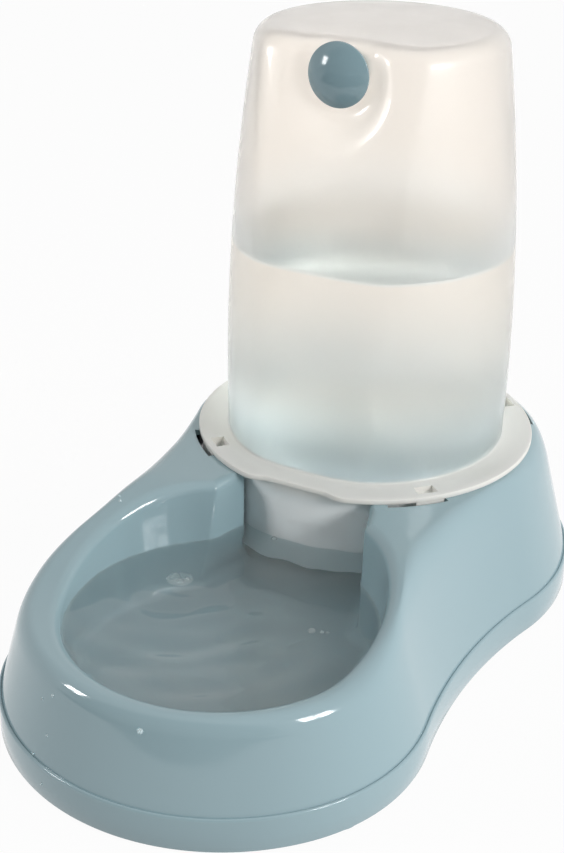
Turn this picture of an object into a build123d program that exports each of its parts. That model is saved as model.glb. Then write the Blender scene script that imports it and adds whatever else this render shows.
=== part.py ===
from math import cos, radians, sin, sqrt, tan
import os

from build123d import *

# A gravity-fed water dispenser for a pet. A one-piece base holds a drinking bowl in front and a round
# well behind it, joined by a short channel. A translucent tank stands on the well's seat and keeps the
# bowl filled. Millimetres, +Z up, -Y is the front (the bowl), the left and right halves mirror at X = 0.
# The origin is on the table, under the middle of the base.

# Base, seen from above
LOBE_SPACING = 137.9
FRONT_LOBE_R = 85.75
FRONT_LOBE_DEPTH = 80.6
FRONT_CORNER_R = 76.0
REAR_LOBE_R = 93.1
WAIST_R = 225.0

# Base, seen from the side
FOOT_PROUD = 1.5
SKIRT_HEIGHT = 14.6
SKIRT_STEP = 1.4
WALL_DRAFT = 15.0
FRONT_RIM_HEIGHT = 48.5
SEAT_HEIGHT = 67.9
RAMP_START = 22.8
RAMP_SLOPE = 0.3
RAMP_BLEND_R = 120.0
BASE_WALL = 2.5
OUTER_EDGE_R = 6.0
INNER_EDGE_R = 4.0

# Bowl, channel and well
BOWL_DEPTH = 40.5
WATER_BELOW_RIM = 6.5
RIM_WIDTH = 16.0
BOWL_DRAFT = 6.0
CHANNEL_WIDE = 40.2
CHANNEL_NARROW = 27.4
CHANNEL_START = 32.2
CHANNEL_OVERLAP = 9.1
SEAT_WIDTH = 7.9

# Tank, with radii about its own axis
TANK_SHIFT = 3.3
TANK_HEIGHT = 176.6
TANK_MID_TAPER = 1.1
TANK_TOP_TAPER = 10.4
TANK_EDGE_R = 6.0
TANK_WALL = 2.0
FLANGE_LIP = 5.6
FLANGE_THICK = 2.4
FLANGE_FRONT_LIP = 1.4
DRUM_STEP = 7.6
DRUM_GAP = 1.5
DRUM_FLOOR_GAP = 13.5

# How far the tank's front panel is cut back from its round wall
PANEL_FOOT_CUT = 1.9
PANEL_MID_CUT = 4.5
PANEL_TOP_CUT = 12.5

# Lugs under the flange and the slots that take them, as angles about the tank's axis from the front
LUG_ANGLES = (-138.0, -42.0, 46.0, 134.0)
LUG_SPAN = 9.5
LUG_LIP = 1.8
LUG_DEPTH = 5.0
LUG_TOP = 1.2
LUG_GAP = 0.8
SLOT_SPARE = 9.5
SLOT_END_GAP = 0.6

# Tank floor and its outlet
SPOUT_DROP = 5.5
FLOOR_THICK = 2.2
FLOOR_GAP = 0.3
LEDGE_WIDTH = 1.5
LEDGE_HEIGHT = 2.0
SPOUT_R = 9.0
SPOUT_WALL = 2.0
SPOUT_INSET = 4.0
VENT_R = 2.4
VENT_RISE = 0.4
VENT_SPACING = 24.0

# Fill plug, its washer and the dish that it sits in
PLUG_BELOW_TOP = 12.5
PLUG_HEAD_R = 12.6
PLUG_EDGE = 1.4
PLUG_DOME = 4.6
PLUG_STEM_R = 7.0
PLUG_STEM_WALL = 1.8
PLUG_STEM_LENGTH = 12.0
PLUG_LEAD = 1.0
PLUG_GAP = 0.3
SEAL_R = 10.5
SEAL_THICK = 1.5
SEAL_BORE_GAP = 0.1
SEAL_REST = 0.1
DISH_CUT = 0.5
DISH_MARGIN = 4.4
DISH_SLOPE = 40.0

# Feet
FOOT_R = 6.0
FOOT_RECESS = 1.0
FOOT_STEM_R = 2.0
FOOT_STEM_LENGTH = 4.0
FOOT_GAP = 0.15
FOOT_CHAMFER = 0.6
FOOT_BOSS_HEIGHT = 9.0
FOOT_BOSS_WALL = 1.4
SKIRT_MARGIN = 0.2
FRONT_FOOT_ANGLE = 29.0
REAR_FOOT_ANGLE = 35.0

# Heights that follow
SKIRT_TOP_Z = FOOT_PROUD + SKIRT_HEIGHT
FRONT_RIM_Z = FOOT_PROUD + FRONT_RIM_HEIGHT
SEAT_Z = FOOT_PROUD + SEAT_HEIGHT
BOWL_FLOOR_Z = FRONT_RIM_Z - BOWL_DEPTH
WATER_Z = FRONT_RIM_Z - WATER_BELOW_RIM
DRUM_BOTTOM_Z = BOWL_FLOOR_Z + DRUM_FLOOR_GAP
FLOOR_Z = WATER_Z + SPOUT_DROP
FLANGE_TOP_Z = SEAT_Z + FLANGE_THICK
TANK_TOP_Z = SEAT_Z + TANK_HEIGHT
TANK_MIDDLE_Z = (FLANGE_TOP_Z + TANK_TOP_Z) / 2
PLUG_Z = TANK_TOP_Z - PLUG_BELOW_TOP

# Places along the base that follow, with its two ends equally far from the origin
FRONT_LOBE_Y = (FRONT_LOBE_DEPTH - REAR_LOBE_R - LOBE_SPACING) / 2
REAR_LOBE_Y = FRONT_LOBE_Y + LOBE_SPACING
TANK_Y = REAR_LOBE_Y - TANK_SHIFT

# Radii that follow: the base's wall at the seat and at the rim sets the well, the tank and the bowl
WALL_SLANT = tan(radians(WALL_DRAFT))
WELL_R = REAR_LOBE_R - SKIRT_STEP - (SEAT_Z - SKIRT_TOP_Z) * WALL_SLANT - SEAT_WIDTH
BOWL_RIM_R = FRONT_LOBE_R - SKIRT_STEP - (FRONT_RIM_Z - SKIRT_TOP_Z) * WALL_SLANT - RIM_WIDTH
DRUM_R = WELL_R - DRUM_GAP
FLANGE_R = DRUM_R + FLANGE_LIP
FLANGE_FLAT = DRUM_R + FLANGE_FRONT_LIP
LUG_REACH = FLANGE_R + LUG_LIP
SLOT_REACH = LUG_REACH + LUG_GAP
TANK_FOOT_R = DRUM_R - DRUM_STEP
TANK_MID_R = TANK_FOOT_R - TANK_MID_TAPER
TANK_TOP_R = TANK_FOOT_R - TANK_TOP_TAPER
PANEL_FOOT = TANK_FOOT_R - PANEL_FOOT_CUT
PANEL_MID = TANK_MID_R - PANEL_MID_CUT
PANEL_TOP = TANK_TOP_R - PANEL_TOP_CUT
DISH_FLOOR = PANEL_TOP - DISH_CUT
DISH_FLOOR_R = PLUG_HEAD_R + DISH_MARGIN

# Modelling helpers: how far cutters reach past what they cut, and how closely an edge must match
STANDING = (Align.CENTER, Align.CENTER, Align.MIN)
ABOVE = 20.0
FAR = 400.0
NEAR = 0.5
LEVEL = 0.5


def at_angle(centre_y, radius, angle):
    """Point at an angle from the front, turning towards +X, round a centre on the middle plane."""
    return Vector(radius * sin(radians(angle)), centre_y - radius * cos(radians(angle)))


def waist_centre():
    """Centre of the arc that draws in the right side between the two lobes."""
    to_front = FRONT_LOBE_R + WAIST_R
    to_rear = REAR_LOBE_R + WAIST_R
    span = REAR_LOBE_Y - FRONT_LOBE_Y
    along = (to_front ** 2 - to_rear ** 2 + span ** 2) / (2 * span)
    return Vector(sqrt(to_front ** 2 - along ** 2), FRONT_LOBE_Y + along)


def on_circle(centre, radius, towards):
    """Point on a circle in the direction of another point."""
    return centre + (towards - centre).normalized() * radius


def midway(centre, radius, first, last):
    """Point halfway along the short arc between two points of a circle."""
    return on_circle(centre, radius, (first + last) * 0.5)


def plan_outline(inset):
    """Outline of the base seen from above, drawn in by an inset: arcs that meet tangentially."""
    corner_offset = FRONT_LOBE_R - FRONT_CORNER_R
    spare = FRONT_LOBE_DEPTH - FRONT_CORNER_R
    nose_offset = (corner_offset ** 2 - spare ** 2) / (2 * spare)
    nose_centre = Vector(0, FRONT_LOBE_Y + nose_offset)
    nose_r = FRONT_LOBE_DEPTH + nose_offset - inset
    corner_centre = Vector(corner_offset, FRONT_LOBE_Y)
    corner_r = FRONT_CORNER_R - inset
    front_centre = Vector(0, FRONT_LOBE_Y)
    front_r = FRONT_LOBE_R - inset
    rear_centre = Vector(0, REAR_LOBE_Y)
    rear_r = REAR_LOBE_R - inset
    waist = waist_centre()
    waist_r = WAIST_R + inset

    nose = nose_centre - Vector(0, nose_r)
    nose_end = on_circle(nose_centre, nose_r, corner_centre)
    side = front_centre + Vector(front_r, 0)
    front_end = on_circle(front_centre, front_r, waist)
    rear_start = on_circle(rear_centre, rear_r, waist)
    tail_side = rear_centre + Vector(rear_r, 0)
    tail = rear_centre + Vector(0, rear_r)

    right = [
        ThreePointArc(nose, midway(nose_centre, nose_r, nose, nose_end), nose_end),
        ThreePointArc(nose_end, midway(corner_centre, corner_r, nose_end, side), side),
        ThreePointArc(side, midway(front_centre, front_r, side, front_end), front_end),
        ThreePointArc(front_end, midway(waist, waist_r, front_end, rear_start), rear_start),
        ThreePointArc(rear_start, midway(rear_centre, rear_r, rear_start, tail_side), tail_side),
        ThreePointArc(tail_side, midway(rear_centre, rear_r, tail_side, tail), tail),
    ]
    left = [mirror(edge, about=Plane.YZ) for edge in right]
    return make_face(right + left)


def side_profile(lower):
    """Everything under the base's top line, seen from the side, lowered by an amount."""
    ramp_start_y = FRONT_LOBE_Y - RAMP_START
    ramp_end_y = ramp_start_y + (SEAT_Z - FRONT_RIM_Z) / RAMP_SLOPE
    top_line = FilletPolyline(
        (-FAR, FRONT_RIM_Z - lower),
        (ramp_start_y, FRONT_RIM_Z - lower),
        (ramp_end_y, SEAT_Z - lower),
        (FAR, SEAT_Z - lower),
        radius=RAMP_BLEND_R,
    )
    rest = Polyline((FAR, SEAT_Z - lower), (FAR, 0), (-FAR, 0), (-FAR, FRONT_RIM_Z - lower))
    face = Plane.YZ * make_face([top_line, rest])
    return extrude(face, FAR / 2, both=True)


def drafted(inset, from_z):
    """The base's plan raised past its top with the wall's draft, which starts at the skirt's top."""
    low = inset + (from_z - SKIRT_TOP_Z) * WALL_SLANT
    return Pos(0, 0, from_z) * extrude(plan_outline(low), SEAT_Z + ABOVE - from_z, taper=WALL_DRAFT)


def base_outside():
    """The base's outer form as a full block: a drafted body with a rounded top edge on a stepped skirt."""
    body = drafted(SKIRT_STEP, SKIRT_TOP_Z) & side_profile(0)
    top_edges = body.edges().filter_by(lambda edge: edge.center().Z > WATER_Z)
    body = fillet(top_edges, OUTER_EDGE_R)
    skirt = Pos(0, 0, FOOT_PROUD) * extrude(plan_outline(0), SKIRT_HEIGHT)
    return body + skirt


def base_void():
    """The hollow under the base, open below, as if the bowl and the well weren't there."""
    body = drafted(SKIRT_STEP + BASE_WALL, SKIRT_TOP_Z - BASE_WALL) & side_profile(BASE_WALL)
    skirt = extrude(plan_outline(BASE_WALL), SKIRT_TOP_Z - BASE_WALL)
    return body + skirt


def channel_slant():
    """How much each side wall of the channel draws in towards the well, per millimetre."""
    return (CHANNEL_WIDE - CHANNEL_NARROW) / (channel_rear_y() - channel_front_y())


def channel_front_y():
    return FRONT_LOBE_Y + CHANNEL_START


def channel_rear_y():
    return TANK_Y - WELL_R + CHANNEL_OVERLAP


def channel_half_width(y):
    """Half the channel's width, which narrows from the bowl to the well."""
    return CHANNEL_WIDE - channel_slant() * (y - channel_front_y())


def channel_plan(grow):
    """The channel seen from above, with its side walls moved out by an amount."""
    widen = grow * sqrt(1 + channel_slant() ** 2)
    front_y = channel_front_y()
    rear_y = channel_rear_y()
    corners = []
    for side, y in ((-1, front_y), (1, front_y), (1, rear_y), (-1, rear_y)):
        corners.append((side * (channel_half_width(y) + widen), y))
    return make_face(Polyline(*corners, close=True))


def bowl_radius(z):
    """The bowl's inner radius at a height."""
    return BOWL_RIM_R + (z - FRONT_RIM_Z) * tan(radians(BOWL_DRAFT))


def cavity(grow):
    """The space of the bowl, channel and well, grown by an amount to give the outside of their walls."""
    floor_z = BOWL_FLOOR_Z - grow
    top_z = SEAT_Z + ABOVE
    height = top_z - floor_z
    bowl_form = Cone(bowl_radius(floor_z) + grow, bowl_radius(top_z) + grow, height, align=STANDING)
    bowl = Pos(0, FRONT_LOBE_Y, floor_z) * bowl_form
    channel = Pos(0, 0, floor_z) * extrude(channel_plan(grow), height)
    well = Pos(0, TANK_Y, floor_z) * Cylinder(WELL_R + grow, height, align=STANDING)
    return bowl + channel + well


def ring_sector(inner_r, outer_r, first, last, low_z, high_z):
    """Arc-shaped block about the tank's axis between two angles from the front."""
    middle = (first + last) / 2
    outer = ThreePointArc(*[at_angle(TANK_Y, outer_r, angle) for angle in (first, middle, last)])
    inner = ThreePointArc(*[at_angle(TANK_Y, inner_r, angle) for angle in (last, middle, first)])
    face = make_face([outer, Line(outer @ 1, inner @ 0), inner, Line(inner @ 1, outer @ 0)])
    return Pos(0, 0, low_z) * extrude(face, high_z - low_z)


def lug_slots():
    """Slots in the seat for the tank's lugs, each longer than its lug on one side."""
    slots = []
    for angle in LUG_ANGLES:
        first = angle - LUG_SPAN / 2 - SLOT_SPARE
        last = angle + LUG_SPAN / 2 + SLOT_END_GAP
        low_z = SEAT_Z - LUG_DEPTH - LUG_GAP
        slots.append(ring_sector(WELL_R - DRUM_GAP, SLOT_REACH, first, last, low_z, SEAT_Z + ABOVE))
    return slots


def foot_places():
    """Middle of each foot, by node name: just inside the skirt of each lobe."""
    inset = FOOT_R + FOOT_GAP + FOOT_BOSS_WALL + SKIRT_MARGIN
    corner_x = FRONT_LOBE_R - FRONT_CORNER_R
    front_r = FRONT_CORNER_R - inset
    rear_r = REAR_LOBE_R - inset
    front_x = corner_x + front_r * cos(radians(FRONT_FOOT_ANGLE))
    front_y = FRONT_LOBE_Y - front_r * sin(radians(FRONT_FOOT_ANGLE))
    rear_x = rear_r * cos(radians(REAR_FOOT_ANGLE))
    rear_y = REAR_LOBE_Y + rear_r * sin(radians(REAR_FOOT_ANGLE))
    return {
        "foot_front_right": (front_x, front_y),
        "foot_front_left": (-front_x, front_y),
        "foot_rear_right": (rear_x, rear_y),
        "foot_rear_left": (-rear_x, rear_y),
    }


def on_bowl_rim(edge):
    """True for the edges where the top surface meets the bowl's and the channel's walls."""
    middle = edge @ 0.5
    bowl_gap = sqrt(middle.X ** 2 + (middle.Y - FRONT_LOBE_Y) ** 2) - bowl_radius(middle.Z)
    channel_gap = abs(middle.X) - channel_half_width(middle.Y)
    level = abs(edge.tangent_at(0.5).Z) < LEVEL
    return level and middle.Z > WATER_Z and min(abs(bowl_gap), abs(channel_gap)) < NEAR


def foot_fitting(x, y):
    """Boss for a foot, and the recess and hole that are cut from it and the skirt."""
    place = Pos(x, y, FOOT_PROUD)
    boss = place * Cylinder(FOOT_R + FOOT_GAP + FOOT_BOSS_WALL, FOOT_BOSS_HEIGHT, align=STANDING)
    recess = place * Cylinder(FOOT_R + FOOT_GAP, FOOT_RECESS, align=STANDING)
    hole_depth = FOOT_RECESS + FOOT_STEM_LENGTH + FOOT_GAP
    hole = place * Cylinder(FOOT_STEM_R + FOOT_GAP, hole_depth, align=STANDING)
    return boss, recess + hole


def base():
    """One moulding: bowl, channel, well, seat and skirt, hollow below, with a boss for each foot."""
    block = base_outside() - cavity(0)
    block = fillet(block.edges().filter_by(on_bowl_rim), INNER_EDGE_R)
    shell = (block - base_void()) + (cavity(BASE_WALL) & block)
    for slot in lug_slots():
        shell -= slot
    for x, y in foot_places().values():
        boss, recess = foot_fitting(x, y)
        shell = shell + boss - recess
    return shell


def tank_profile(inset):
    """The tank's round form inside or out: a turned wall that draws in towards a rounded top."""
    foot = (TANK_FOOT_R - inset, FLANGE_TOP_Z)
    middle = (TANK_MID_R - inset, TANK_MIDDLE_Z)
    top = (TANK_TOP_R - inset, TANK_TOP_Z - inset)
    wall = ThreePointArc(foot, middle, top)
    rest = Polyline(top, (0, TANK_TOP_Z - inset), (0, SEAT_Z), (TANK_FOOT_R - inset, SEAT_Z), foot)
    turned = revolve(Plane.XZ * make_face([wall, rest]), Axis.Z)
    rim = turned.edges().filter_by(GeomType.CIRCLE).sort_by(Axis.Z)[-1]
    return Pos(0, TANK_Y, 0) * fillet(rim, TANK_EDGE_R - inset)


def behind_panel(inset):
    """Everything behind the tank's front panel, which leans back towards the top."""
    foot = (TANK_Y - PANEL_FOOT + inset, FLANGE_TOP_Z)
    middle = (TANK_Y - PANEL_MID + inset, TANK_MIDDLE_Z)
    top = (TANK_Y - PANEL_TOP + inset, TANK_TOP_Z)
    panel = ThreePointArc(foot, middle, top)
    above = (top[0], TANK_TOP_Z + ABOVE)
    below = (foot[0], 0)
    rest = Polyline(top, above, (FAR, TANK_TOP_Z + ABOVE), (FAR, 0), below, foot)
    return extrude(Plane.YZ * make_face([panel, rest]), FAR / 2, both=True)


def dish(inset):
    """The hollow that the plug sits in: a flat floor with sloping sides that widen towards the front."""
    depth = PANEL_FOOT
    floor_r = DISH_FLOOR_R + inset
    mouth_r = floor_r + depth * tan(radians(DISH_SLOPE))
    form = Cone(floor_r, mouth_r, depth, align=STANDING)
    return Pos(0, TANK_Y - DISH_FLOOR + inset, PLUG_Z) * Rot(X=90) * form


def tank_form(inset):
    """The tank above its flange, as a full form, drawn in by an amount."""
    return (tank_profile(inset) & behind_panel(inset)) - dish(inset)


def flange():
    """Ring round the foot of the tank, straight in front, with the lugs that locate it in the seat."""
    ring = Pos(0, TANK_Y, SEAT_Z) * Cylinder(FLANGE_R, FLANGE_THICK, align=STANDING)
    ring -= Pos(0, TANK_Y - FLANGE_FLAT - FAR / 2, SEAT_Z) * Box(FAR, FAR, ABOVE)
    for angle in LUG_ANGLES:
        first = angle - LUG_SPAN / 2
        last = angle + LUG_SPAN / 2
        low_z = SEAT_Z - LUG_DEPTH
        ring += ring_sector(DRUM_R - TANK_WALL, LUG_REACH, first, last, low_z, SEAT_Z + LUG_TOP)
    return ring


def upright(radius, low_z, high_z):
    """Cylinder on the tank's axis between two heights."""
    return Pos(0, TANK_Y, low_z) * Cylinder(radius, high_z - low_z, align=STANDING)


def tank_shell():
    """One translucent moulding: the tank's wall, its flange with lugs, and the drum below the flange."""
    drum = upright(DRUM_R, DRUM_BOTTOM_Z, SEAT_Z)
    shell = tank_form(0) + flange() + drum - tank_form(TANK_WALL)
    ledge_z = FLOOR_Z + FLOOR_THICK
    inside_r = DRUM_R - TANK_WALL
    shell -= upright(inside_r, DRUM_BOTTOM_Z, ledge_z)
    shell -= upright(inside_r - LEDGE_WIDTH, ledge_z, ledge_z + LEDGE_HEIGHT)
    shell -= upright(inside_r, ledge_z + LEDGE_HEIGHT, SEAT_Z)
    plug_bore = Cylinder(PLUG_STEM_R + PLUG_GAP, TANK_FOOT_R, align=STANDING)
    shell -= Pos(0, TANK_Y, PLUG_Z) * Rot(X=90) * plug_bore
    for side in (-1, 1):
        place = Pos(side * VENT_SPACING / 2, TANK_Y + DRUM_R, WATER_Z + VENT_RISE + VENT_R)
        shell -= place * Rot(X=90) * Cylinder(VENT_R, 4 * TANK_WALL)
    return shell


def tank_floor():
    """Plate that closes the tank below, with the outlet spout whose lip sets the bowl's water level."""
    plate_r = DRUM_R - TANK_WALL - FLOOR_GAP
    spout_y = TANK_Y - plate_r + SPOUT_R + SPOUT_INSET
    spout = Pos(0, spout_y, WATER_Z) * Cylinder(SPOUT_R, FLOOR_Z - WATER_Z, align=STANDING)
    bore = Pos(0, spout_y, WATER_Z) * Cylinder(SPOUT_R - SPOUT_WALL, ABOVE, align=STANDING)
    return upright(plate_r, FLOOR_Z, FLOOR_Z + FLOOR_THICK) + spout - bore


def fill_plug():
    """Stopper with a domed head and a hollow stem, facing the front."""
    head_back = SEAL_THICK
    edge = head_back + PLUG_EDGE
    crown = edge + PLUG_DOME
    dome = ThreePointArc((PLUG_HEAD_R, edge), dome_point(edge), (0, crown))
    stem_inner = PLUG_STEM_R - PLUG_STEM_WALL
    rest = Polyline(
        (0, crown),
        (0, head_back),
        (stem_inner, head_back),
        (stem_inner, -PLUG_STEM_LENGTH),
        (PLUG_STEM_R - PLUG_LEAD, -PLUG_STEM_LENGTH),
        (PLUG_STEM_R, PLUG_LEAD - PLUG_STEM_LENGTH),
        (PLUG_STEM_R, head_back),
        (PLUG_HEAD_R, head_back),
        (PLUG_HEAD_R, edge),
    )
    turned = revolve(Plane.XZ * make_face([dome, rest]), Axis.Z)
    return plug_place() * turned


def dome_point(edge):
    """Point halfway up the plug's dome, on the circle through its edge and its crown."""
    dome_r = (PLUG_HEAD_R ** 2 + PLUG_DOME ** 2) / (2 * PLUG_DOME)
    centre = edge + PLUG_DOME - dome_r
    x = PLUG_HEAD_R / 2
    return (x, centre + sqrt(dome_r ** 2 - x ** 2))


def plug_place():
    """Place of the plug: its own +Z points out of the front panel, from the dish's floor."""
    return Pos(0, TANK_Y - DISH_FLOOR - SEAL_REST, PLUG_Z) * Rot(X=90)


def plug_seal():
    """Soft washer on the plug's stem, behind its head."""
    washer = Cylinder(SEAL_R, SEAL_THICK, align=STANDING)
    bore = Cylinder(PLUG_STEM_R + SEAL_BORE_GAP, SEAL_THICK, align=STANDING)
    return plug_place() * (washer - bore)


def foot(x, y):
    """Rubber foot: a round pad with a stem that pushes into the base's boss."""
    pad = Cylinder(FOOT_R, FOOT_PROUD + FOOT_RECESS, align=STANDING)
    pad = chamfer(pad.edges().sort_by(Axis.Z)[0], FOOT_CHAMFER)
    stem = Pos(0, 0, FOOT_PROUD + FOOT_RECESS) * Cylinder(FOOT_STEM_R, FOOT_STEM_LENGTH, align=STANDING)
    return Pos(x, y, 0) * (pad + stem)


def main():
    os.makedirs("parts", exist_ok=True)
    pieces = {
        "base": base(),
        "tank_shell": tank_shell(),
        "tank_floor": tank_floor(),
        "fill_plug": fill_plug(),
        "plug_seal": plug_seal(),
    }
    for name, (x, y) in foot_places().items():
        pieces[name] = foot(x, y)
    for name, piece in pieces.items():
        export_step(piece, f"parts/{name}.step")


if __name__ == "__main__":
    main()
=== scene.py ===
from math import atan2, cos, hypot, pi, radians, sin, sqrt, tan

import bmesh
import bpy
import numpy as np
from mathutils import Matrix, Vector


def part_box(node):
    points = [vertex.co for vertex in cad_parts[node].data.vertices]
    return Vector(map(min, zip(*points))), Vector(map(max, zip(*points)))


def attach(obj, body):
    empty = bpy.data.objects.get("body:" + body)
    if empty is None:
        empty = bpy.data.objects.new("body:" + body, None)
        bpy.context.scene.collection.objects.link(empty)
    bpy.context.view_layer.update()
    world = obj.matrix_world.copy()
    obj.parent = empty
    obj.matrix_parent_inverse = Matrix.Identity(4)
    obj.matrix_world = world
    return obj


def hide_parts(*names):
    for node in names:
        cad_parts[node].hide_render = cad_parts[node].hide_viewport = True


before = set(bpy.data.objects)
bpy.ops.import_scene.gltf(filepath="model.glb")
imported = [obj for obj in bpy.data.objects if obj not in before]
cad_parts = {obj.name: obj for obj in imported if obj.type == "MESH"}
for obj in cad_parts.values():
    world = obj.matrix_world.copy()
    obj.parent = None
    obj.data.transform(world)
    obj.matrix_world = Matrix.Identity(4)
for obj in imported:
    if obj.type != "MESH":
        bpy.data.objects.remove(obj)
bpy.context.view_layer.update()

# All shapes here are worked out in millimetres, in the frame's axes: +Z up, -Y the front with the bowl.
# Angles round the tank and azimuths are measured from the front, turning towards +X. Those of the outlines
# of the base and its cavity are measured from +X, turning towards +Y.
MM = 0.001


def box_mm(node):
    low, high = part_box(node)
    return low / MM, high / MM


FOOT_NODES = ("foot_front_left", "foot_front_right", "foot_rear_left", "foot_rear_right")
base_low, base_high = box_mm("base")
shell_low, shell_high = box_mm("tank_shell")
plate_low, plate_high = box_mm("tank_floor")
plug_low, plug_high = box_mm("fill_plug")

# Base, seen from above
REAR_LOBE_R = base_high.x
REAR_LOBE_Y = base_high.y - REAR_LOBE_R
FRONT_LOBE_DEPTH = 80.6
FRONT_LOBE_Y = base_low.y + FRONT_LOBE_DEPTH
FRONT_LOBE_R = 85.75
FRONT_CORNER_R = 76.0
WAIST_R = 225.0

# Base, seen from the side
FOOT_PROUD = base_low.z
SEAT_Z = base_high.z
SKIRT_HEIGHT = 14.6
SKIRT_TOP_Z = FOOT_PROUD + SKIRT_HEIGHT
SKIRT_STEP = 1.4
GROOVE_DEPTH = 0.25
WALL_SLANT = tan(radians(15.0))
FRONT_RIM_Z = FOOT_PROUD + 48.5
RAMP_START_Y = FRONT_LOBE_Y - 22.8
RAMP_SLOPE = 0.3
RAMP_BLEND = 11.7
BASE_WALL = 2.5

# Bowl, channel and well
BOWL_FLOOR_Z = FRONT_RIM_Z - 40.5
WATER_Z = FRONT_RIM_Z - 6.5
BOWL_RIM_R = 61.5
BOWL_SHIFT = 3.0
BOWL_SLANT = tan(radians(6.0))
WELL_R = 69.5
CHANNEL_WIDE = 40.2
CHANNEL_SLANT = 0.306
CHANNEL_SHIFT = 3.5
CHANNEL_FRONT_Y = FRONT_LOBE_Y + 32.2
CORNER_R = 3.2
WELL_EDGE_R = 1.2
RIM_EDGE_R = 4.0
FLOOR_EDGE_R = 5.0

# Tank, with radii about its own axis
TANK_Y = (plate_low.y + plate_high.y) / 2
TANK_WALL = 2.0
PLATE_PLAY = 0.3
PLATE_TOP_Z = plate_high.z
LEDGE_HEIGHT = 2.0
LEDGE_WIDTH = 1.5
DRUM_R = (plate_high.x - plate_low.x) / 2 + TANK_WALL + PLATE_PLAY
DRUM_EDGE = 0.5
DRUM_BOTTOM_Z = shell_low.z
TANK_TOP_Z = shell_high.z
TANK_CROWN = 0.5
TANK_EDGE_R = 7.0
TANK_WATER_Z = 157.7
TANK_FOOT_R = DRUM_R - 7.6
TANK_FOOT_EDGE = 0.8

# Tank's wall over its height, from 0 to 1: its radius and its front panel's distance from the axis grow
# by a swell times the height and shrink by a taper times the height squared
WALL_SWELL = 6.0
WALL_TAPER = 16.4
PANEL_INSET = 1.9
PANEL_SWELL = 6.2
PANEL_TAPER = 27.2
PANEL_EDGE_BLEND = 5.0

# Flange, its straight front edge, and the lugs under it with the slots that they turn in
FLANGE_R = DRUM_R + 5.6
FLANGE_TOP_Z = SEAT_Z + 2.4
FLANGE_EDGE = 0.8
STRAIGHT_PROUD = 0.7
STRAIGHT_HALF = 13
STRAIGHT_END = 24
LUG_ANGLES = (-138.0, -42.0, 46.0, 134.0)
LUG_SPAN = 9.5
LUG_R = FLANGE_R - 0.4
LUG_DEPTH = 5.0
POCKET_DEPTH = 6.0
POCKET_MARGIN = 1.3
SLOT_R = FLANGE_R + 2.0
SLOT_TURN = 9.5
SLOT_PLAY = 0.6
SLOT_GAP = 0.8

# Plug, its bore and the dish in the front panel, whose floor is at a distance from the tank's axis
PLUG_Z = (plug_low.z + plug_high.z) / 2
BORE_R = 7.3
DISH_FLOOR = 37.0
DISH_FLOOR_R = 17.0
DISH_FLOOR_BLEND = 3.0
DISH_SLOPE = tan(radians(42.0))
DISH_EDGE_BLEND = 4.0
DISH_LOW_Z = 196.0

# Air vents at the back of the drum
VENT_R = 2.4
VENT_X = 12.0
VENT_Z = WATER_Z + 2.8

# Windows, whose panes have a size and an offset as shares of the window's own size
WINDOW_DISTANCE = 1500
LIGHT_TARGET = Vector((0, -20, 80))
PANE_SHARE = 0.46
PANE_OFFSET = 0.26

# Room: levels where 1 is white, the share that is left of them straight ahead, and half the floor's width
WALLS_LEVEL = 0.3
CEILING_LEVEL = 0.37
SIDE_LEVEL = 0.75
DARK_SHARE = 0.25
FLOOR_HALF = 4000

# Edges that turn by more than this angle in degrees stay sharp
SHARP_ANGLE = 38.0
PLUG_SHARP_ANGLE = 50.0


# Mesh building

class Shape:
    """Points and faces of one piece, built from rings of points that are bridged to each other."""

    def __init__(self):
        self.points = []
        self.faces = []

    def ring(self, points):
        start = len(self.points)
        self.points.extend(points)
        return list(range(start, start + len(points)))

    def bridge(self, first, second):
        count = len(first)
        for i in range(count):
            j = (i + 1) % count
            self.faces.append((first[i], first[j], second[j], second[i]))

    def bridge_all(self, rings):
        for first, second in zip(rings, rings[1:]):
            self.bridge(first, second)

    def skin(self, columns):
        """Bridges rings that run through columns of points, and returns the rings."""
        rings = [self.ring([column[k] for column in columns]) for k in range(len(columns[0]))]
        self.bridge_all(rings)
        return rings

    def cap(self, ring):
        """Closes a flat ring with one face."""
        self.faces.append(tuple(ring))

    def pole(self, ring, point):
        """Closes a ring with a fan of faces round a point."""
        top = self.ring([point])[0]
        for i in range(len(ring)):
            self.faces.append((ring[i], ring[(i + 1) % len(ring)], top))

    def close(self, rings, start, end):
        """Closes the first ring of a skin at a start point and the last one at an end point."""
        self.pole(rings[0], start)
        self.pole(rings[-1], end)

    def patch(self, ring, columns):
        """Fills a ring with rows that run straight across from its second half to its first."""
        half = len(ring) // 2
        rows = [[ring[0]]]
        for i in range(1, half):
            right = Vector(self.points[ring[i]])
            left = Vector(self.points[ring[-i]])
            inner = [left.lerp(right, k / columns) for k in range(1, columns)]
            rows.append([ring[-i]] + self.ring(inner) + [ring[i]])
        rows.append([ring[half]])
        for low, high in zip(rows, rows[1:]):
            for k in range(columns):
                places = ((low, k), (low, k + 1), (high, k + 1), (high, k))
                face = tuple(dict.fromkeys(row[min(place, len(row) - 1)] for row, place in places))
                if len(face) > 2:
                    self.faces.append(face)


def make_piece(name, shape, sharp=SHARP_ANGLE):
    """Mesh object from a shape in millimetres, smooth apart from edges sharper than an angle."""
    mesh = bpy.data.meshes.new(name)
    mesh.from_pydata([Vector(p) * MM for p in shape.points], [], shape.faces)
    clean = bmesh.new()
    clean.from_mesh(mesh)
    bmesh.ops.recalc_face_normals(clean, faces=clean.faces)
    clean.to_mesh(mesh)
    clean.free()
    finish_mesh(mesh, sharp)
    piece = bpy.data.objects.new(name, mesh)
    bpy.context.scene.collection.objects.link(piece)
    return piece


def finish_mesh(mesh, sharp):
    mesh.shade_smooth()
    mesh.set_sharp_from_angle(angle=radians(sharp))


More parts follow.
